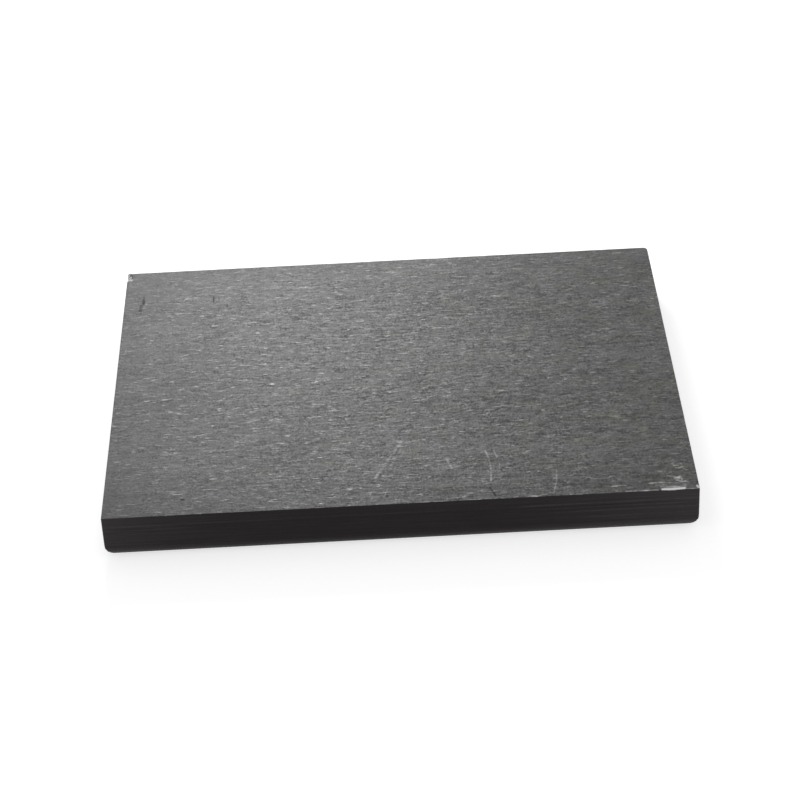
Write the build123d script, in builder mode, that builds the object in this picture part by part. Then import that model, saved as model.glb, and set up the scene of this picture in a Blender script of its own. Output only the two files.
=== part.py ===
from build123d import *

import math
import os

# Carbon vane of a rotary pump: one ground plate, lying on its lower broad face.
# Millimetres. X is along the rotor, Y is the way the vane slides in its slot,
# Z is the thickness. The origin is the middle of the lower face.

# Plate
length = 60.0
width = 47.0
thickness = 5.0

# Rounding of the lower edges: the two long ones, and the two at the ends
long_edge_radius = 1.4
end_edge_radius = 1.8

# Least upright wall left above a rounded lower edge
least_wall = 0.5

# Corners seen from above: three are nearly sharp, the right rear one is rubbed round
corner_radius = 0.15
rubbed_corner_radius = 0.5

# Break of the upper edges
arris_break = 0.08

# Witness line of the grinding wheel on the front side: a fine step between two passes
step_below_top = 1.2
step_depth = 0.03

# Chip in the upper edge of the left end, beside the rear corner: its size along the edge,
# its reach inwards on the upper face and its dip down the side
end_chip_across = 1.7
end_chip_reach = 0.5
end_chip_dip = 0.4
end_chip_from_corner = 0.85

# Chip in the front upper edge, near the right end, nearly all of it on the upper face
front_chip_across = 2.5
front_chip_reach = 0.65
front_chip_dip = 0.05
front_chip_from_corner = 2.7


def ball_offset(across, far):
    """How far out of a face the ball of a chip has its middle, if the chip reaches this far."""
    return (across**2 / 4 - far**2) / (2 * far)


def ball_radius(across, reach, dip):
    """Radius of the ball that leaves a chip of this size across, reach and dip."""
    return math.hypot(ball_offset(across, dip), ball_offset(across, reach) + reach)


long_round = min(long_edge_radius, thickness - least_wall)
end_round = min(end_edge_radius, thickness - least_wall)

with BuildPart() as vane:
    # Outline, with the rubbed corner the one furthest from the left front
    with BuildSketch() as outline:
        Rectangle(length, width)
        fillet(outline.vertices().sort_by_distance((-length, -width))[:-1], corner_radius)
        fillet(outline.vertices().sort_by_distance((-length, -width))[-1], rubbed_corner_radius)
    extrude(amount=thickness)

    # Section across the vane: long lower edges rounded, a step in the front, upper edges broken
    with BuildSketch(Plane.YZ) as cross_section:
        Rectangle(width, thickness, align=(Align.CENTER, Align.MIN))
        fillet(cross_section.vertices().group_by(Axis.Y)[0], long_round)
        with Locations((-width / 2, thickness)):
            Rectangle(step_depth, step_below_top, align=(Align.MIN, Align.MAX), mode=Mode.SUBTRACT)
        chamfer(cross_section.vertices().group_by(Axis.Y)[-1], arris_break)
    extrude(amount=length / 2, both=True, mode=Mode.INTERSECT)

    # Section along the vane: its edges are mitred with those of the section across
    with BuildSketch(Plane.XZ) as long_section:
        Rectangle(length, thickness, align=(Align.CENTER, Align.MIN))
        fillet(long_section.vertices().group_by(Axis.Y)[0], end_round)
        chamfer(long_section.vertices().group_by(Axis.Y)[-1], arris_break)
    extrude(amount=width / 2, both=True, mode=Mode.INTERSECT)

    # Chip in the left end
    end_ball_x = -length / 2 - ball_offset(end_chip_across, end_chip_reach)
    end_ball_y = width / 2 - end_chip_from_corner
    end_ball_z = thickness + ball_offset(end_chip_across, end_chip_dip)
    with Locations((end_ball_x, end_ball_y, end_ball_z)):
        Sphere(ball_radius(end_chip_across, end_chip_reach, end_chip_dip), mode=Mode.SUBTRACT)

    # Chip in the front edge
    front_ball_x = length / 2 - front_chip_from_corner
    front_ball_y = -width / 2 - ball_offset(front_chip_across, front_chip_reach)
    front_ball_z = thickness + ball_offset(front_chip_across, front_chip_dip)
    with Locations((front_ball_x, front_ball_y, front_ball_z)):
        Sphere(ball_radius(front_chip_across, front_chip_reach, front_chip_dip), mode=Mode.SUBTRACT)

vane.part.label = "vane"

os.makedirs("parts", exist_ok=True)
export_step(vane.part, "parts/vane.step")
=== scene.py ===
"""Looks of a carbon pump vane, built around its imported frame. Metres, +Z up."""

import logging
import math
from dataclasses import dataclass, field
from enum import Enum
from typing import Any

import bpy
from mathutils import Matrix, Vector


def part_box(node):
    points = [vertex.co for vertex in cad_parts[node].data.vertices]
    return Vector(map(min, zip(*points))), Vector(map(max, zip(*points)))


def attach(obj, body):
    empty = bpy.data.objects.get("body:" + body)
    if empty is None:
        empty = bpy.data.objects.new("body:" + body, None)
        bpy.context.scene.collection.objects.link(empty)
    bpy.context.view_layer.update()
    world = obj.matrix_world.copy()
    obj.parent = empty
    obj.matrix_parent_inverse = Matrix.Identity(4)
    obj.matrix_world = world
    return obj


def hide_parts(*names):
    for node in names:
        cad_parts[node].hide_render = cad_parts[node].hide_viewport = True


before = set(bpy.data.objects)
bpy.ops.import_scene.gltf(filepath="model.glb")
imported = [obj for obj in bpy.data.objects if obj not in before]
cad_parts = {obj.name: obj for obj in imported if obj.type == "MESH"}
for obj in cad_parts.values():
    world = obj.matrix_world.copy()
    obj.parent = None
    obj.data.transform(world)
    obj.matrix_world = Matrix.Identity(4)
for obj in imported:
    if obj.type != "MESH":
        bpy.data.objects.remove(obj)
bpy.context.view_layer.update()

LOG = logging.getLogger("vane")
MM = 0.001


class Wire:
    """A socket of a node tree that takes part in Python arithmetic."""

    def __init__(self, graph: "Graph", socket: bpy.types.NodeSocket, vector: bool = False) -> None:
        """Wraps a socket.

        Args:
            graph: The tree that the socket belongs to.
            socket: The output socket.
            vector: Whether it carries a vector, which goes through Vector Math.
        """
        self.graph = graph
        self.socket = socket
        self.vector = vector

    def _join(self, operation: str, first: Any, second: Any = 0.0) -> "Wire":
        """Adds one maths node.

        Args:
            operation: The node's operation.
            first: Its first operand.
            second: Its second operand.

        Returns:
            The node's result.
        """
        vector = any(isinstance(value, tuple) or getattr(value, "vector", False) for value in (first, second))
        kind = "ShaderNodeVectorMath" if vector else "ShaderNodeMath"
        made = self.graph.node(kind, {"operation": operation}, {0: first, 1: second})
        return Wire(self.graph, made.outputs[0], vector)

    def __add__(self, other: Any) -> "Wire":
        """Sum."""
        return self._join("ADD", self, other)

    def __radd__(self, other: Any) -> "Wire":
        """Sum, reflected."""
        return self._join("ADD", other, self)

    def __sub__(self, other: Any) -> "Wire":
        """Difference."""
        return self._join("SUBTRACT", self, other)

    def __rsub__(self, other: Any) -> "Wire":
        """Difference, reflected."""
        return self._join("SUBTRACT", other, self)

    def __mul__(self, other: Any) -> "Wire":
        """Product."""
        return self._join("MULTIPLY", self, other)

    def __rmul__(self, other: Any) -> "Wire":
        """Product, reflected."""
        return self._join("MULTIPLY", other, self)

    def __truediv__(self, other: Any) -> "Wire":
        """Quotient."""
        return self._join("DIVIDE", self, other)

    def __pow__(self, other: Any) -> "Wire":
        """Power."""
        return self._join("POWER", self, other)

    def __abs__(self) -> "Wire":
        """Size without its sign."""
        return self._join("ABSOLUTE", self)

    def sign(self) -> "Wire":
        """-1, 0 or 1."""
        return self._join("SIGN", self)

    def root(self) -> "Wire":
        """Square root."""
        return self._join("SQRT", self)

    def least(self, other: Any) -> "Wire":
        """The smaller of the two."""
        return self._join("MINIMUM", self, other)

    def most(self, other: Any) -> "Wire":
        """The larger of the two."""
        return self._join("MAXIMUM", self, other)

    def above(self, limit: Any) -> "Wire":
        """1 where the value is above the limit, otherwise 0."""
        return self._join("GREATER_THAN", self, limit)

    def length(self) -> "Wire":
        """Length of a vector."""
        made = self.graph.node("ShaderNodeVectorMath", {"operation": "LENGTH"}, {0: self})
        return Wire(self.graph, made.outputs["Value"])

    def dot(self, other: Any) -> "Wire":
        """Dot product with another vector."""
        made = self.graph.node("ShaderNodeVectorMath", {"operation": "DOT_PRODUCT"}, {0: self, 1: other})
        return Wire(self.graph, made.outputs["Value"])

    def split(self) -> tuple["Wire", "Wire", "Wire"]:
        """X, Y and Z of a vector."""
        made = self.graph.node("ShaderNodeSeparateXYZ", {}, {0: self})
        x, y, z = (Wire(self.graph, made.outputs[axis]) for axis in "XYZ")
        return x, y, z

    def spread(self, low: float, high: float, to_low: Any = 0.0, to_high: Any = 1.0) -> "Wire":
        """Straight-line map from one range to another, held at its ends."""
        return self._mapped("LINEAR", low, high, to_low, to_high)

    def fade(self, low: float, high: float) -> "Wire":
        """Smooth rise from 0 at one value to 1 at the other."""
        return self._mapped("SMOOTHSTEP", low, high, 0.0, 1.0)

    def _mapped(self, curve: str, low: float, high: float, to_low: Any, to_high: Any) -> "Wire":
        """Adds a Map Range node.

        Args:
            curve: The node's interpolation.
            low: Start of the range that is read.
            high: End of the range that is read.
            to_low: Result at the start.
            to_high: Result at the end.

        Returns:
            The node's result.
        """
        rising = low < high
        sockets = {
            "Value": self,
            "From Min": low if rising else high,
            "From Max": high if rising else low,
            "To Min": to_low if rising else to_high,
            "To Max": to_high if rising else to_low,
        }
        made = self.graph.node("ShaderNodeMapRange", {"interpolation_type": curve}, sockets)
        return Wire(self.graph, made.outputs["Result"])


class Graph:
    """A node tree that is written as expressions."""

    def __init__(self, tree: bpy.types.NodeTree) -> None:
        """Takes over a tree."""
        self.tree = tree

    def node(self, kind: str, settings: dict[str, Any], inputs: dict[Any, Any]) -> bpy.types.Node:
        """Adds a node.

        Args:
            kind: The node's type.
            settings: Its own properties, set first.
            inputs: Values or wires for its sockets, by name or number.

        Returns:
            The new node.
        """
        made = self.tree.nodes.new(kind)
        for name, value in settings.items():
            setattr(made, name, value)
        for key, value in inputs.items():
            self.plug(value, made.inputs[key])
        return made

    def plug(self, value: Any, socket: bpy.types.NodeSocket) -> None:
        """Links a wire to a socket, or sets the socket's own value.

        Args:
            value: A wire, a socket or a plain value.
            socket: The input socket.
        """
        if isinstance(value, Wire):
            self.tree.links.new(value.socket, socket)
        elif isinstance(value, bpy.types.NodeSocket):
            self.tree.links.new(value, socket)
        elif socket.type == "VECTOR" and isinstance(value, (int, float)):
            socket.default_value = (value, value, value)
        elif socket.type == "RGBA":
            tone = (value, value, value) if isinstance(value, (int, float)) else value
            socket.default_value = (*tone[:3], 1.0)
        else:
            socket.default_value = value

    def noise(self, point: Wire, pitch: tuple[float, float, float], seed: float, detail: float = 2.0) -> Wire:
        """Noise about 0, stretched to a pitch along each axis.

        Args:
            point: Place in millimetres.
            pitch: Size of a blotch along X, Y and Z, in millimetres.
            seed: Shift that tells one noise from another.
            detail: Octaves of finer noise.

        Returns:
            Noise of about -0.5 to 0.5.
        """
        stretched = point * tuple(1 / step for step in pitch) + (seed, seed * 1.7, seed * 2.3)
        sockets = {"Vector": stretched, "Scale": 1.0, "Detail": detail, "Roughness": 0.55}
        made = self.node("ShaderNodeTexNoise", {}, sockets)
        return Wire(self, made.outputs[0]) - 0.5

    def blend(self, share: Any, first: Any, second: Any, kind: str = "MIX") -> Wire:
        """Mixes two colours.

        Args:
            share: 0 for the first colour, 1 for the second.
            first: A wire or a linear colour.
            second: A wire or a linear colour.
            kind: How the second one is laid over the first.

        Returns:
            The mixed colour.
        """
        settings = {"data_type": "RGBA", "blend_type": kind, "clamp_factor": False}
        made = self.node("ShaderNodeMix", settings, {0: share, 6: first, 7: second})
        return Wire(self, made.outputs[2])


class Side(Enum):
    """The side of the vane that an upper edge belongs to, as (X, Y) outwards."""

    FRONT = (0, -1)
    REAR = (0, 1)
    LEFT = (-1, 0)
    RIGHT = (1, 0)


@dataclass(frozen=True)
class Ball:
    """The ball whose surface is the floor of a chip, in millimetres."""

    middle: tuple[float, float, float]
    radius: float
    # Share of pale tone on the chip floor: a fresh break with a painted glint.
    fresh_break_glint: float


@dataclass(frozen=True)
class Scoop:
    """A shell-shaped chip in an upper edge, in millimetres.

    It is placed along its side, and has a size across, a reach inwards on the upper face, a dip
    down the side, and a share of pale tone for its fresh break, which is partly a painted glint.
    """

    side: Side
    along: float
    across: float
    reach: float
    dip: float
    fresh_break_glint: float

    def ball(self, half_length: float, half_width: float, top: float) -> Ball:
        """The ball whose surface is the chip's floor.

        Args:
            half_length: Half of the vane's length.
            half_width: Half of its width.
            top: Height of its upper face.

        Returns:
            The ball.
        """
        out, lift = ((self.across**2 / 4 - far**2) / (2 * far) for far in (self.reach, self.dip))
        out_x, out_y = self.side.value
        x = out_x * (half_length + out) if out_x else self.along
        y = out_y * (half_width + out) if out_y else self.along
        return Ball((x, y, top + lift), math.hypot(lift, out + self.reach), self.fresh_break_glint)


@dataclass(frozen=True)
class Mark:
    """A straight scratch, rub or stain on the upper face, in millimetres; a stain is below 0."""

    start: tuple[float, float]
    end: tuple[float, float]
    width: float
    strength: float
    ragged: float = 0.5


@dataclass(frozen=True)
class GrindLine:
    """A line that grinding left along the front side, in millimetres, painted as a light glint; a dark one,
    below 0, is painted shade.
    """

    height: float
    width: float
    strength: float
    start: float = -40.0
    end: float = 40.0


@dataclass(frozen=True)
class MeshPitch:
    """How the lines of the mesh are spaced, in millimetres."""

    arris_depth: float = 0.12
    arris_lines: int = 4
    rounding_depth: float = 2.0
    rounding_lines: int = 12
    field_pitch: float = 0.4
    wall_lines: int = 32

    def lines(self, half: float) -> int:
        """Lines between a side and the middle of the plate.

        Args:
            half: Distance from the side to the middle, in millimetres.

        Returns:
            The number of steps from the side to the middle.
        """
        field_lines = round((half - self.rounding_depth) / self.field_pitch)
        return self.arris_lines + self.rounding_lines + field_lines


@dataclass
class VanePlate:
    """The whole vane: a plate whose three crossing sections follow a rule."""

    length: float
    width: float
    thickness: float
    long_edge_radius: float = 1.4
    end_edge_radius: float = 1.8
    corner_radius: float = 0.15
    rubbed_corner_radius: float = 0.5
    arris_radius: float = 0.07
    step_below_top: float = 1.2
    step_depth: float = 0.03
    pitch: MeshPitch = field(default_factory=MeshPitch)
    scoops: tuple[Scoop, ...] = (
        Scoop(Side.LEFT, 22.65, 1.7, 0.5, 0.4, 0.8),
        Scoop(Side.FRONT, 27.3, 2.5, 0.65, 0.05, 0.32),
        Scoop(Side.FRONT, 24.8, 1.6, 0.25, 0.03, 0.25),
        Scoop(Side.FRONT, 13.5, 1.2, 0.2, 0.03, 0.2),
        Scoop(Side.RIGHT, -23.2, 0.7, 0.15, 0.06, 0.5),
        Scoop(Side.REAR, 5.9, 2.4, 0.35, 0.05, 0.08),
    )

    def balls(self) -> tuple[Ball, ...]:
        """The balls that the chips are cut with."""
        return tuple(scoop.ball(self.length / 2, self.width / 2, self.thickness) for scoop in self.scoops)

    def _inset(self, graph: Graph, share: Wire, half: float) -> Wire:
        """Turns a line's share of the way from the side to the middle into a distance.

        Args:
            graph: The geometry tree; not used.
            share: 0 at the side, 1 in the middle.
            half: Distance from the side to the middle, in millimetres.

        Returns:
            Distance from the side, in metres.
        """
        pitch = self.pitch
        lines = pitch.lines(half)
        arris_share = pitch.arris_lines / lines
        rounding_share = (pitch.arris_lines + pitch.rounding_lines) / lines
        arris = share.spread(0.0, arris_share, 0.0, pitch.arris_depth * MM)
        rounding_reach = (pitch.rounding_depth - pitch.arris_depth) * MM
        rounding = share.spread(arris_share, rounding_share, 0.0, rounding_reach)
        rest = share.spread(rounding_share, 1.0, 0.0, (half - pitch.rounding_depth) * MM)
        return arris + rounding + rest

    @staticmethod
    def _round_over(distance: Wire, radius: Any) -> Wire:
        """Height that a rounded edge gives up at a distance from its side.

        Args:
            distance: Distance from the side, in metres.
            radius: Radius of the edge, in metres.

        Returns:
            The height lost, which is the radius at the side itself.
        """
        left = (radius - distance).most(0.0)
        under_root = (radius * radius - left * left).most(0.0)
        return radius - under_root.root()

    def _tree(self) -> bpy.types.NodeTree:
        """Builds the geometry tree, with the vane's sizes as named inputs.

        Returns:
            The tree.
        """
        tree = bpy.data.node_groups.new("vane_plate_shape", "GeometryNodeTree")
        tree.interface.new_socket("Geometry", in_out="OUTPUT", socket_type="NodeSocketGeometry")
        for name in self._tree_sizes():
            tree.interface.new_socket(name, in_out="INPUT", socket_type="NodeSocketFloat")
        for name in ("Broad Face", "Side"):
            tree.interface.new_socket(name, in_out="INPUT", socket_type="NodeSocketMaterial")
        graph = Graph(tree)
        source = graph.node("NodeGroupInput", {}, {})
        size = {name: Wire(graph, source.outputs[name]) for name in self._tree_sizes()}
        shaped = self._shaped(graph, size)
        smooth = graph.node("GeometryNodeSetShadeSmooth", {}, {"Geometry": shaped})
        whole = graph.node("GeometryNodeRealizeInstances", {}, {"Geometry": smooth.outputs[0]})
        side = graph.node(
            "GeometryNodeSetMaterial",
            {},
            {"Geometry": whole.outputs[0], "Material": source.outputs["Side"]},
        )
        normal = graph.node("GeometryNodeInputNormal", {}, {})
        upright = abs(Wire(graph, normal.outputs[0], True).split()[2]).above(math.sqrt(0.5))
        broad = graph.node(
            "GeometryNodeSetMaterial",
            {},
            {"Geometry": side.outputs[0], "Selection": upright, "Material": source.outputs["Broad Face"]},
        )
        graph.node("NodeGroupOutput", {}, {0: broad.outputs[0]})
        return tree

    def _tree_sizes(self) -> dict[str, float]:
        """The tree's number inputs: lengths in metres, and the seed."""
        return {
            "Length": self.length * MM,
            "Width": self.width * MM,
            "Thickness": self.thickness * MM,
            "Long Edge Radius": self.long_edge_radius * MM,
            "End Edge Radius": self.end_edge_radius * MM,
            "Corner Radius": self.corner_radius * MM,
            "Rubbed Corner Radius": self.rubbed_corner_radius * MM,
            "Arris Radius": self.arris_radius * MM,
            "Step Below Top": self.step_below_top * MM,
            "Step Depth": self.step_depth * MM,
            "Seed": 11.0,
        }

    def _shaped(self, graph: Graph, size: dict[str, Wire]) -> bpy.types.NodeSocket:
        """Turns a gridded block into the vane.

        Args:
            graph: The geometry tree.
            size: The tree's named inputs.

        Returns:
            The socket that carries the finished geometry.
        """
        counts = {
            "Size": (2.0, 2.0, 2.0),
            "Vertices X": 2 * self.pitch.lines(self.length / 2) + 1,
            "Vertices Y": 2 * self.pitch.lines(self.width / 2) + 1,
            "Vertices Z": self.pitch.wall_lines + 1,
        }
        block = graph.node("GeometryNodeMeshCube", {}, counts)
        position = graph.node("GeometryNodeInputPosition", {}, {})
        u, v, w = Wire(graph, position.outputs[0], True).split()
        plain_x = self._inset(graph, 1.0 - abs(u), self.length / 2)
        plain_y = self._inset(graph, 1.0 - abs(v), self.width / 2)

        right_rear = u.above(0.0) * v.above(0.0)
        corner = size["Corner Radius"]
        corner = corner + right_rear * (size["Rubbed Corner Radius"] - corner)
        reach_x = (corner - plain_x).most(0.0)
        reach_y = (corner - plain_y).most(0.0)
        reach = (reach_x * reach_x + reach_y * reach_y).root()
        pull = 1.0 - reach_x.most(reach_y) / reach.most(1e-9)
        inset_x = plain_x + reach_x * pull
        inset_y = plain_y + reach_y * pull
        x = u.sign() * (size["Length"] * 0.5 - inset_x)
        y = v.sign() * (size["Width"] * 0.5 - inset_y)

        across = self._round_over(inset_y, size["Long Edge Radius"])
        endways = self._round_over(inset_x, size["End Edge Radius"])
        foot = across.most(endways)
        arris = self._worn_arris(graph, x, y, size)
        crown = size["Thickness"] - self._round_over(plain_x.least(plain_y), arris)
        depth = (1.0 - w) * 0.5
        arris_share = self.pitch.arris_lines / self.pitch.wall_lines
        arris_part = self.pitch.arris_depth / (self.thickness - self.long_edge_radius)
        fall = depth.spread(0.0, arris_share, 0.0, arris_part)
        fall = fall + depth.spread(arris_share, 1.0, 0.0, 1.0 - arris_part)
        z = crown + (foot - crown) * fall

        step_edge = size["Thickness"] - size["Step Below Top"]
        over_step = ((z - step_edge) / (0.1 * MM)).fade(-0.5, 0.5)
        near_front = (inset_y / (1.0 * MM)).fade(1.0, 0.0) * (0.0 - v).above(0.0)
        y = y + size["Step Depth"] * over_step * near_front

        made = graph.node("ShaderNodeCombineXYZ", {}, {0: x, 1: y, 2: z})
        place = self._chipped(Wire(graph, made.outputs[0], True))
        moved = graph.node("GeometryNodeSetPosition", {}, {"Geometry": block.outputs["Mesh"], "Position": place})
        return moved.outputs[0]

    def _worn_arris(self, graph: Graph, x: Wire, y: Wire, size: dict[str, Wire]) -> Wire:
        """Radius of the upper edge, uneven from handling.

        Args:
            graph: The geometry tree.
            x: Place along the vane.
            y: Place across the vane.
            size: The tree's named inputs.

        Returns:
            The local radius, in metres.
        """
        place = graph.node("ShaderNodeCombineXYZ", {}, {0: x, 1: y, 2: size["Seed"] * MM})
        point = Wire(graph, place.outputs[0], True) * (1 / MM)
        slow = graph.noise(point, (7.0, 7.0, 7.0), 3.0)
        quick = graph.noise(point, (1.1, 1.1, 1.1), 5.0)
        return size["Arris Radius"] * (1.0 + slow * 1.4 + quick * 1.6).most(0.3)

    def _chipped(self, place: Wire) -> Wire:
        """Pushes what lies inside a chip's ball out to the ball's surface.

        Args:
            place: Place of each point.

        Returns:
            The place after every chip.
        """
        for ball in self.balls():
            away = place - tuple(axis * MM for axis in ball.middle)
            distance = away.length()
            inside = (ball.radius * MM - distance).most(0.0)
            place = place + away * (inside / distance)
        return place

    def build(self, broad: bpy.types.Material, side: bpy.types.Material) -> bpy.types.Object:
        """Makes the vane as one plain mesh.

        Args:
            broad: Finish of the two broad faces.
            side: Finish of the sides and ends.

        Returns:
            The finished object, at the origin.
        """
        tree = self._tree()
        plate = bpy.data.objects.new("vane_plate", bpy.data.meshes.new("vane_plate"))
        bpy.context.scene.collection.objects.link(plate)
        shape = plate.modifiers.new("shape", "NODES")
        shape.node_group = tree
        values = {**self._tree_sizes(), "Broad Face": broad, "Side": side}
        for item in tree.interface.items_tree:
            if item.in_out == "INPUT":
                shape[item.identifier] = values[item.name]
        evaluated = plate.evaluated_get(bpy.context.evaluated_depsgraph_get())
        mesh = bpy.data.meshes.new_from_object(evaluated)
        plate.modifiers.remove(shape)
        plate.data = mesh
        mesh.name = plate.name
        return plate


@dataclass(frozen=True)
class GroundFace:
    """The broad faces: ground grey carbon with short bright and dark streaks along the vane."""

    balls: tuple[Ball, ...]
    half_length: float
    half_width: float
    name: str = "ground_carbon_face"
    tone: tuple[float, float, float] = (0.056, 0.056, 0.056)
    olive: tuple[float, float, float] = (0.054, 0.053, 0.044)
    light_tone: tuple[float, float, float] = (0.85, 0.85, 0.84)
    dark_tone: tuple[float, float, float] = (0.004, 0.004, 0.004)
    specular: float = 0.375
    relief_height: float = 0.022
    # Share of pale tone for the edge rub and the painted arris highlight.
    rim_rub_and_highlight_share: float = 0.14
    marks: tuple[Mark, ...] = (
        Mark((0.57, -12.35), (-2.44, -19.01), 0.35, 0.18, 0.8),
        Mark((0.38, -14.01), (-0.80, -16.97), 0.3, 0.13, 0.8),
        Mark((-0.82, -13.23), (-1.44, -14.51), 0.25, 0.09, 0.8),
        Mark((-1.17, -20.69), (-1.65, -22.26), 0.16, 0.14, 0.4),
        Mark((5.04, -16.40), (5.42, -17.85), 0.28, 0.26, 0.7),
        Mark((8.97, -14.99), (9.17, -15.89), 0.2, 0.26, 0.5),
        Mark((9.17, -15.89), (9.37, -17.83), 0.18, 0.2, 0.9),
        Mark((9.37, -17.83), (9.27, -20.41), 0.22, 0.24, 0.9),
        Mark((9.86, -15.18), (10.10, -16.41), 0.16, 0.24, 0.4),
        Mark((10.29, -17.53), (10.22, -18.81), 0.16, 0.13, 0.8),
        Mark((8.44, -17.05), (8.30, -19.29), 0.16, 0.09, 0.9),
        Mark((16.00, -19.11), (15.86, -20.81), 0.16, 0.2, 0.7),
        Mark((15.86, -20.81), (15.45, -22.76), 0.16, 0.28, 0.6),
        Mark((14.72, 2.05), (15.12, 1.62), 0.2, 0.25, 0.5),
        Mark((16.05, 0.94), (17.30, 0.51), 0.18, 0.2, 0.6),
        Mark((9.08, -21.50), (9.61, -23.01), 0.22, -1.0, 0.1),
        Mark((8.14, -20.31), (8.56, -21.88), 0.14, -0.25, 0.4),
        Mark((-27.88, 17.55), (-27.86, 16.60), 0.34, -0.85, 0.2),
        Mark((-28.10, 16.40), (-28.14, 15.25), 0.42, -0.7, 0.3),
        Mark((-27.90, 18.40), (-27.90, 17.60), 0.2, -0.35, 0.6),
        Mark((-28.08, 15.20), (-28.02, 14.40), 0.22, -0.4, 0.5),
        Mark((-19.90, 17.58), (-19.89, 16.30), 0.16, -0.7, 0.2),
        Mark((-18.37, 15.88), (-18.35, 15.09), 0.15, -0.5, 0.2),
        Mark((-21.96, -20.92), (-21.84, -20.93), 0.36, -1.0, 0.0),
        Mark((27.77, -19.04), (28.63, -19.11), 0.35, 0.2, 1.0),
        Mark((27.97, -19.47), (28.55, -19.78), 0.5, 0.35, 1.0),
        Mark((28.43, -19.86), (29.01, -20.15), 0.35, 0.25, 1.0),
        Mark((26.24, -20.40), (27.46, -20.37), 0.3, 0.3, 0.9),
        Mark((26.96, -21.17), (27.51, -21.18), 0.25, 0.15, 0.9),
        Mark((27.93, -21.44), (28.31, -21.65), 0.8, 0.4, 1.0),
        Mark((28.18, -21.89), (28.63, -22.35), 0.9, 0.35, 1.0),
        Mark((25.07, -22.13), (26.54, -22.17), 0.3, 0.35, 0.9),
        Mark((26.54, -22.15), (28.53, -22.34), 0.16, 0.22, 0.6),
        Mark((26.16, -22.82), (27.45, -22.89), 0.2, 0.35, 0.7),
        Mark((28.45, -22.96), (29.45, -22.98), 0.2, 0.2, 0.8),
        Mark((26.30, -23.30), (28.45, -23.27), 0.38, 1.0, 0.1),
        Mark((26.85, -22.98), (27.65, -22.90), 0.26, 0.6, 0.5),
        Mark((27.60, -22.95), (28.60, -22.92), 0.15, 0.45, 0.5),
        Mark((29.78, -22.96), (29.90, -23.39), 0.3, 0.6, 0.4),
        Mark((28.69, -23.39), (29.89, -23.44), 0.15, 0.4, 0.4),
        Mark((23.99, -23.37), (25.79, -23.37), 0.2, 0.45, 0.5),
        Mark((21.29, -22.37), (21.84, -22.35), 0.2, 0.5, 0.4),
        Mark((21.90, -22.29), (22.70, -22.34), 0.16, 0.35, 0.5),
        Mark((22.61, -23.30), (23.89, -23.36), 0.14, 0.4, 0.5),
        Mark((16.98, -23.35), (18.18, -23.39), 0.16, 0.35, 0.6),
        Mark((12.98, -23.32), (14.08, -23.32), 0.22, 0.4, 0.6),
        Mark((5.97, -23.36), (7.97, -23.36), 0.14, 0.3, 0.7),
        Mark((1.46, -23.36), (4.66, -23.36), 0.12, 0.2, 0.8),
        Mark((4.73, 22.97), (6.98, 23.01), 0.5, 0.16, 0.8),
        Mark((6.84, 22.49), (7.72, 21.74), 0.4, 0.2, 0.8),
        Mark((3.91, 21.54), (5.33, 22.24), 0.7, 0.16, 1.0),
        Mark((26.11, 22.58), (26.68, 22.53), 0.5, 0.16, 0.6),
        Mark((-29.88, 22.13), (-29.48, 22.03), 0.35, 0.6, 0.3),
        Mark((-29.97, 23.46), (-29.87, 21.91), 0.3, 0.6, 0.3),
    )

    def build(self) -> bpy.types.Material:
        """Makes the material.

        Returns:
            The new material.
        """
        material, graph, point = new_material(self.name)
        x, y, z = point.split()
        grain = self._grain(graph, point, x, y)
        cloud = graph.noise(point, (3.5, 2.0, 3.5), 5.0, 3.0)
        pool = graph.noise(point, (14.0, 9.0, 14.0), 6.0)
        warm = graph.noise(point, (3.0, 2.2, 3.0), 7.0) + x.spread(-20.0, 20.0, -0.1, 0.06)
        colour = graph.blend(warm.fade(0.0, 0.2) * 0.8, self.tone, self.olive)
        # Painted shade: the tone is darkened along the front and rear edges and at the two left corners.
        margin_shade = self._painted_margin_shade(x, y)
        value = (0.98 + grain * 3.8 + cloud * 1.4 + pool * 1.0).most(0.1) * margin_shade
        shade = graph.blend(1.0, colour, value, "MULTIPLY")
        grit = graph.noise(point, (0.45, 0.21, 0.5), 8.0, 1.0)
        light, dark = self._mark_masks(graph, x, y, grit)
        # Chip floors take the pale tone: fresh breaks with a painted glint.
        light = (light * z.above(2.5)).most(chip_break_glint(point, self.balls, grit))
        dark = dark * z.above(2.5)
        # Pale line along the upper edges: partly a rub, partly a painted highlight of the arris.
        light = light.most(self._rim_rub_and_highlight(graph, point, x, y, grit)).least(1.0)
        shade = graph.blend(light, shade, self.light_tone)
        shade = graph.blend(dark.least(1.0), shade, self.dark_tone)
        rough = 0.55 - grain * 0.3 - light * 0.1 + dark * 0.2
        relief = grain - dark + light * 0.3
        return finish(material, graph, shade, rough, relief, self.relief_height, self.specular)

    def _painted_margin_shade(self, x: Wire, y: Wire) -> Wire:
        """Painted shade along the front and rear edges and at the two left corners, where the lamp's sheen falls
        off.

        Args:
            x: Place along the vane, in millimetres.
            y: Place across it.

        Returns:
            What the tone is multiplied by.
        """
        front = (y + self.half_width).spread(0.5, 7.0, 1.0, 0.0) * x.spread(-10.0, 25.0, 0.38, 0.12)
        rear = (self.half_width - y).spread(0.5, 5.0, 1.0, 0.0) * x.spread(0.0, 15.0, 0.15, 0.0)
        end = (x + self.half_length).spread(0.5, 5.0, 0.22, 0.0)
        corners = abs(y).spread(self.half_width * 0.3, self.half_width)
        return (1.0 - front - rear) * (1.0 - end * corners)

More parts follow.
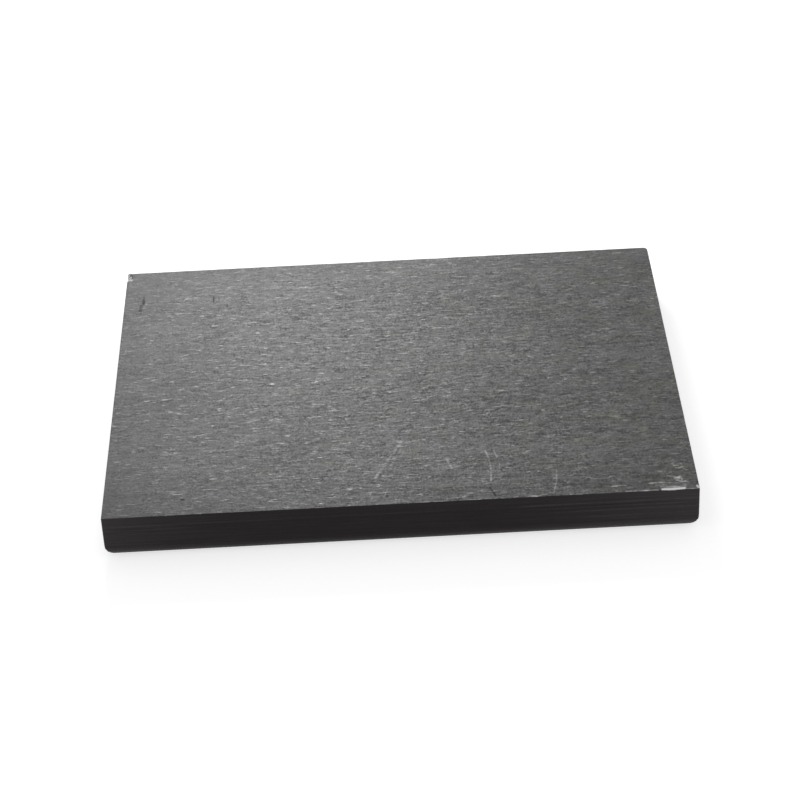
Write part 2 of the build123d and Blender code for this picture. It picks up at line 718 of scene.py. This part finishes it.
    def _rim_rub_and_highlight(self, graph: Graph, point: Wire, x: Wire, y: Wire, grit: Wire) -> Wire:
        """Light rub along the very edge, mostly on the front one, partly a painted highlight of the arris.

        Args:
            graph: The material's tree.
            point: Place in millimetres.
            x: Place along the vane.
            y: Place across it.
            grit: Streaks that break the rub up.

        Returns:
            The share of light tone.
        """
        front = (y + self.half_width).spread(0.16, 0.04) * x.spread(-24.0, 24.0, 0.4, 1.0)
        others = (self.half_width - y).least(self.half_length - abs(x)).spread(0.12, 0.02) * 0.25
        patchy = (graph.noise(point, (1.6, 1.6, 1.6), 10.0) + grit).spread(-0.1, 0.25)
        return front.most(others) * patchy * self.rim_rub_and_highlight_share

    def _grain(self, graph: Graph, point: Wire, x: Wire, y: Wire) -> Wire:
        """Short streaks along the vane, fainter towards the left, the rear and the right edge.

        Args:
            graph: The material's tree.
            point: Place in millimetres.
            x: Place along the vane.
            y: Place across it.

        Returns:
            Height of the streaks, about 0.
        """
        sway = graph.noise(point, (14.0, 7.0, 14.0), 1.0)
        wavy = point + sway * (0.0, 0.6, 0.0)
        sand = graph.noise(wavy, (0.2, 0.3, 0.3), 2.0, 1.0)
        dash = graph.noise(wavy, (0.9, 0.3, 0.6), 3.0, 1.0)
        streak = graph.noise(wavy, (3.0, 0.38, 0.8), 4.0, 1.0)
        glint = graph.noise(wavy, (0.9, 0.26, 0.8), 15.0, 1.0).spread(0.1, 0.3)
        left = (x + self.half_length).spread(0.0, 44.0, 0.57, 1.3)
        right = (self.half_length - x).spread(0.0, 12.0, 0.75, 1.0)
        rear = (self.half_width - y).spread(0.5, 9.0, 0.65, 1.0)
        patchy = (1.0 + graph.noise(point, (2.2, 1.1, 2.2), 9.0) * 2.4).most(0.2)
        return (sand * 0.75 + dash * 0.66 + streak * 0.36 + glint * 0.8) * left * right * rear * patchy

    def _mark_masks(self, graph: Graph, x: Wire, y: Wire, grit: Wire) -> tuple[Wire, Wire]:
        """Where the light and the dark marks lie.

        Args:
            graph: The material's tree.
            x: Place along the vane, in millimetres.
            y: Place across it.
            grit: Streaks that break the marks up.

        Returns:
            The share of light tone and the share of dark tone.
        """
        plane = graph.node("ShaderNodeCombineXYZ", {}, {0: x, 1: y, 2: 0.0})
        flat = Wire(graph, plane.outputs[0], True)
        light = dark = None
        for mark in self.marks:
            mask = segment(flat, mark, grit) * abs(mark.strength)
            if mark.strength > 0:
                light = mask if light is None else light.most(mask)
            else:
                dark = mask if dark is None else dark.most(mask)
        return light, dark


@dataclass(frozen=True)
class GroundSide:
    """The sides and ends: carbon with fine lines along the edge, near-black partly by a darker finish and partly
    as painted shade.
    """

    balls: tuple[Ball, ...]
    half_length: float
    half_width: float
    thickness: float
    name: str = "ground_carbon_side"
    # Near-black side tone: partly a darker finish than the broad faces, partly painted shade of the sides.
    tone: tuple[float, float, float] = (0.0165, 0.0130, 0.0137)
    # Lighter side tone, for wear, grinding lines and painted light.
    wear_and_painted_light_tone: tuple[float, float, float] = (0.042, 0.036, 0.038)
    light_tone: tuple[float, float, float] = (0.85, 0.85, 0.84)
    specular: float = 0.15
    relief_height: float = 0.02
    foot_height: float = 1.45
    # Grinding lines, painted as light glints and as dark lines of shade.
    lines: tuple[GrindLine, ...] = (
        GrindLine(4.38, 0.30, 0.35, 8.0, 26.0),
        GrindLine(4.10, 0.12, -0.3, 10.0, 26.0),
        GrindLine(3.88, 0.26, 0.35),
        GrindLine(3.88, 0.26, 0.6, 12.0, 40.0),
        GrindLine(3.88, 0.22, 0.4, -40.0, -23.0),
        GrindLine(3.60, 0.20, -0.25),
        GrindLine(3.60, 0.22, -0.35, 14.0, 28.0),
        GrindLine(3.42, 0.18, 0.55, 14.0, 28.5),
        GrindLine(3.42, 0.18, 0.45, -40.0, -22.0),
        GrindLine(3.24, 0.14, -0.3, 16.0, 27.0),
        GrindLine(2.94, 0.24, 0.65, 15.0, 30.0),
        GrindLine(2.94, 0.22, 0.4, -29.0, -19.0),
        GrindLine(2.70, 0.14, -0.2, 14.0, 27.0),
        GrindLine(2.18, 0.26, 0.45, 19.0, 30.0),
        GrindLine(1.90, 0.22, 0.4, 20.0, 30.0),
        GrindLine(1.60, 0.22, -0.35, 12.0, 26.0),
    )

    def build(self) -> bpy.types.Material:
        """Makes the material.

        Returns:
            The new material.
        """
        material, graph, point = new_material(self.name)
        x, y, z = point.split()
        fine = graph.noise(point, (24.0, 24.0, 0.09), 11.0, 3.0)
        short = graph.noise(point, (5.0, 5.0, 0.14), 12.0)
        cloud = graph.noise(point, (5.0, 5.0, 1.6), 13.0)
        speck = graph.noise(point, (0.35, 0.35, 0.12), 14.0)
        grain = fine * 0.8 + short * 0.6 + speck * 0.25

        # Painted reflection: the sides are painted lighter towards both ends.
        left = x.spread(-self.half_length * 0.5, -self.half_length) ** 1.4 * 1.15
        right = x.spread(self.half_length * 0.35, self.half_length) ** 1.3 * 1.3
        ends = left + right
        # Painted reflection of the floor lightens the lower rounding; painted shade darkens its bottom edge.
        foot = z.fade(self.foot_height, self.foot_height - 0.3) * z.spread(0.25, 0.75, -1.0, 1.0)
        foot = foot * x.spread(-10.0, 20.0, 0.3, 0.5)
        second_pass = z.fade(3.72, 3.9) * 0.1
        front = (0.0 - y).above(self.half_width - 2.0)
        # Share of the lighter tone: painted end reflection, painted foot reflection and shade, the upper
        # grinding pass, cloud and grain.
        wear_and_painted_light = ends + foot + second_pass + cloud * 0.5 + grain * (1.0 + ends)
        # Grinding lines on the front side, painted as glints and shade.
        wear_and_painted_light = wear_and_painted_light + self._painted_grind_line_glints(graph, x, z, short + speck) * front
        shade = graph.blend(wear_and_painted_light.least(2.4).most(-0.1), self.tone, self.wear_and_painted_light_tone)
        # Chip floors take the pale tone: fresh breaks with a painted glint.
        shade = graph.blend(chip_break_glint(point, self.balls, speck), shade, self.light_tone)
        rough = 0.5 - grain * 0.25
        return finish(material, graph, shade, rough, grain, self.relief_height, self.specular)

    def _painted_grind_line_glints(self, graph: Graph, x: Wire, z: Wire, uneven: Wire) -> Wire:
        """The grinding lines on the front side, painted as light glints and dark lines of shade.

        Args:
            graph: The material's tree; not used.
            x: Place along the vane, in millimetres.
            z: Height.
            uneven: Noise that makes the lines waver in strength.

        Returns:
            What they add to the share of worn tone.
        """
        total = None
        for line in self.lines:
            half = line.width / 2
            band = abs(z - line.height).fade(half, 0.0)
            begun = x.fade(line.start - 1.5, line.start + 1.5)
            going_on = x.fade(line.end + 1.5, line.end - 1.5)
            part = band * begun * going_on * line.strength
            total = part if total is None else total + part
        return total * (1.0 + uneven * 2.5)


def new_material(name: str) -> tuple[bpy.types.Material, Graph, Wire]:
    """Starts a material.

    Args:
        name: The material's name.

    Returns:
        The material, its empty tree and the place of a point in millimetres.
    """
    material = bpy.data.materials.new(name)
    material.use_nodes = True
    material.node_tree.nodes.clear()
    graph = Graph(material.node_tree)
    place = graph.node("ShaderNodeTexCoord", {}, {})
    return material, graph, Wire(graph, place.outputs["Object"], True) * (1 / MM)


def finish(
    material: bpy.types.Material,
    graph: Graph,
    colour: Wire,
    rough: Wire,
    relief: Wire,
    relief_height: float,
    specular: float,
) -> bpy.types.Material:
    """Ends a material with its shader.

    Args:
        material: The material.
        graph: Its tree.
        colour: Base colour.
        rough: Roughness.
        relief: Height of the surface's fine relief, about 0.
        relief_height: Millimetres that a relief of 1 stands for.
        specular: Specular level, the same all over.

    Returns:
        The material.
    """
    bump = graph.node("ShaderNodeBump", {}, {"Distance": relief_height * MM, "Height": relief})
    sockets = {
        "Base Color": colour,
        "Roughness": rough,
        "Normal": bump.outputs["Normal"],
        "Specular IOR Level": specular,
    }
    shader = graph.node("ShaderNodeBsdfPrincipled", {}, sockets)
    graph.node("ShaderNodeOutputMaterial", {}, {"Surface": shader.outputs[0]})
    return material


def segment(flat: Wire, mark: Mark, grit: Wire) -> Wire:
    """Mask of a straight mark.

    Args:
        flat: Place on the face, in millimetres.
        mark: The mark.
        grit: Streaks that break it up.

    Returns:
        1 in the middle of the mark, 0 outside it.
    """
    start, end = Vector((*mark.start, 0.0)), Vector((*mark.end, 0.0))
    reach = (end - start).length
    way = (end - start).normalized()
    offset = flat - tuple(start)
    along = offset.dot(tuple(way))
    across = offset.dot((-way.y, way.x, 0.0))
    half = mark.width / 2
    past_end = (abs(along - reach / 2) - reach / 2).most(0.0)
    distance = (past_end * past_end + across * across).root() / half
    dashes = (grit * 7.0 + 0.45).most(0.0).least(1.7)
    return distance.spread(1.15, 0.5) * (dashes * mark.ragged + (1.0 - mark.ragged))


def chip_break_glint(point: Wire, balls: tuple[Ball, ...], grit: Wire) -> Wire:
    """Mask of the fresh breaks on the floors of the chips, whose pale tone is partly a painted glint.

    Args:
        point: Place in millimetres.
        balls: The balls that the chips are cut with.
        grit: Streaks that make the breaks uneven.

    Returns:
        The share of pale tone: fresh break and painted glint.
    """
    total = None
    for ball in balls:
        above_floor = (point - ball.middle).length() - ball.radius
        mask = above_floor.spread(0.012, 0.0) * (grit * 6.0 + 0.7).most(0.15) * ball.fresh_break_glint
        total = mask if total is None else total.most(mask)
    return total


@dataclass(frozen=True)
class Lamp:
    """A soft rectangular lamp aimed at the vane."""

    name: str
    azimuth: float
    elevation: float
    distance: float
    size: float
    level: float

    def build(self) -> bpy.types.Object:
        """Makes the lamp.

        Returns:
            The lamp's object.
        """
        turn, rise = math.radians(self.azimuth), math.radians(self.elevation)
        way = Vector((math.sin(turn) * math.cos(rise), math.cos(turn) * math.cos(rise), math.sin(rise)))
        lamp = bpy.data.lights.new(self.name, "AREA")
        lamp.size = self.size
        lamp.energy = self.level * math.pi**2 * self.distance**2
        placed = bpy.data.objects.new(self.name, lamp)
        placed.location = way * self.distance
        placed.rotation_euler = way.to_track_quat("Z", "Y").to_euler()
        bpy.context.scene.collection.objects.link(placed)
        return placed


@dataclass(frozen=True)
class Studio:
    """Pale floor, plain world and soft lamps."""

    floor_half_size: float = 3.0
    ambient: float = 0.5
    floor_tone: float = 0.7
    floor_lift: float = 0.66
    lamps: tuple[Lamp, ...] = (Lamp("rear_softbox", -8.6, 30.5, 0.16, 0.05, 0.50),)

    def build(self) -> None:
        """Makes the floor, the world and the lamps."""
        self._floor()
        self._world()
        for lamp in self.lamps:
            lamp.build()

    @staticmethod
    def _seen(graph: Graph) -> Wire:
        """1 for what the camera sees, straight or in a reflection, otherwise 0."""
        path = graph.node("ShaderNodeLightPath", {}, {})
        kinds = ("Is Camera Ray", "Is Glossy Ray", "Is Transmission Ray")
        straight, mirrored, through = (Wire(graph, path.outputs[kind]) for kind in kinds)
        return straight.most(mirrored).most(through)

    def _floor(self) -> None:
        """Makes the floor, which keeps the shadow."""
        half = self.floor_half_size
        mesh = bpy.data.meshes.new("floor")
        corners = [(-half, -half, 0.0), (half, -half, 0.0), (half, half, 0.0), (-half, half, 0.0)]
        mesh.from_pydata(corners, [], [(0, 1, 2, 3)])
        floor = bpy.data.objects.new("floor", mesh)
        bpy.context.scene.collection.objects.link(floor)
        material = bpy.data.materials.new("pale_floor")
        material.use_nodes = True
        material.node_tree.nodes.clear()
        graph = Graph(material.node_tree)
        tone = (self.floor_tone, self.floor_tone, self.floor_tone, 1.0)
        matt = graph.node("ShaderNodeBsdfDiffuse", {}, {"Color": tone})
        glow = graph.node("ShaderNodeEmission", {}, {"Strength": self._seen(graph) * self.floor_lift})
        both = graph.node("ShaderNodeAddShader", {}, {0: matt.outputs[0], 1: glow.outputs[0]})
        graph.node("ShaderNodeOutputMaterial", {}, {"Surface": both.outputs[0]})
        mesh.materials.append(material)

    def _world(self) -> None:
        """Makes the world: white where it is seen, softer where it only lights."""
        world = bpy.data.worlds.new("studio")
        bpy.context.scene.world = world
        world.use_nodes = True
        world.node_tree.nodes.clear()
        graph = Graph(world.node_tree)
        soft = graph.node("ShaderNodeBackground", {}, {"Strength": self.ambient})
        soft.inputs["Color"].default_value = (1.0, 1.0, 1.0, 1.0)
        white = graph.node("ShaderNodeBackground", {}, {"Strength": 1.0})
        white.inputs["Color"].default_value = (1.0, 1.0, 1.0, 1.0)
        mixed = graph.node(
            "ShaderNodeMixShader",
            {},
            {0: self._seen(graph), 1: soft.outputs[0], 2: white.outputs[0]},
        )
        graph.node("ShaderNodeOutputWorld", {}, {"Surface": mixed.outputs[0]})


@dataclass(frozen=True)
class PhotoCamera:
    """The camera of the photograph: lengths in millimetres, angles in degrees."""

    place: tuple[float, float, float] = (-0.315, -223.07, 154.23)
    azimuth: float = 0.224
    elevation: float = 34.398
    roll: float = -2.827
    lens: float = 112.12
    near: float = 10.0

    def build(self) -> None:
        """Makes the camera and hands it to the scene."""
        turn, drop, tilt = (math.radians(angle) for angle in (self.azimuth, self.elevation, self.roll))
        ahead = Vector((math.sin(turn) * math.cos(drop), math.cos(turn) * math.cos(drop), -math.sin(drop)))
        level = Vector((math.cos(turn), -math.sin(turn), 0.0))
        right = level * math.cos(tilt) + level.cross(ahead) * math.sin(tilt)
        upward = right.cross(ahead)
        camera = bpy.data.cameras.new("photo_camera")
        camera.lens = self.lens
        camera.clip_start = self.near * MM
        placed = bpy.data.objects.new("photo_camera", camera)
        turned = Matrix((right, upward, -ahead)).transposed().to_4x4()
        placed.matrix_world = Matrix.Translation(Vector(self.place) * MM) @ turned
        bpy.context.scene.collection.objects.link(placed)
        bpy.context.scene.camera = placed


def main() -> None:
    """Builds the vane, its finishes, the studio and the camera."""
    logging.basicConfig(level=logging.INFO, format="%(name)s: %(message)s")
    bpy.context.scene.view_settings.view_transform = "Standard"
    low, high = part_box("vane")
    length, width, thickness = (high - low) / MM
    shape = VanePlate(length, width, thickness)
    broad = GroundFace(shape.balls(), length / 2, width / 2).build()
    side = GroundSide(shape.balls(), length / 2, width / 2, thickness).build()
    plate = shape.build(broad, side)
    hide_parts("vane")
    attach(plate, "root")
    LOG.info("%s: %d faces", plate.name, len(plate.data.polygons))
    Studio().build()
    PhotoCamera().build()


if __name__ == "__main__":
    main()
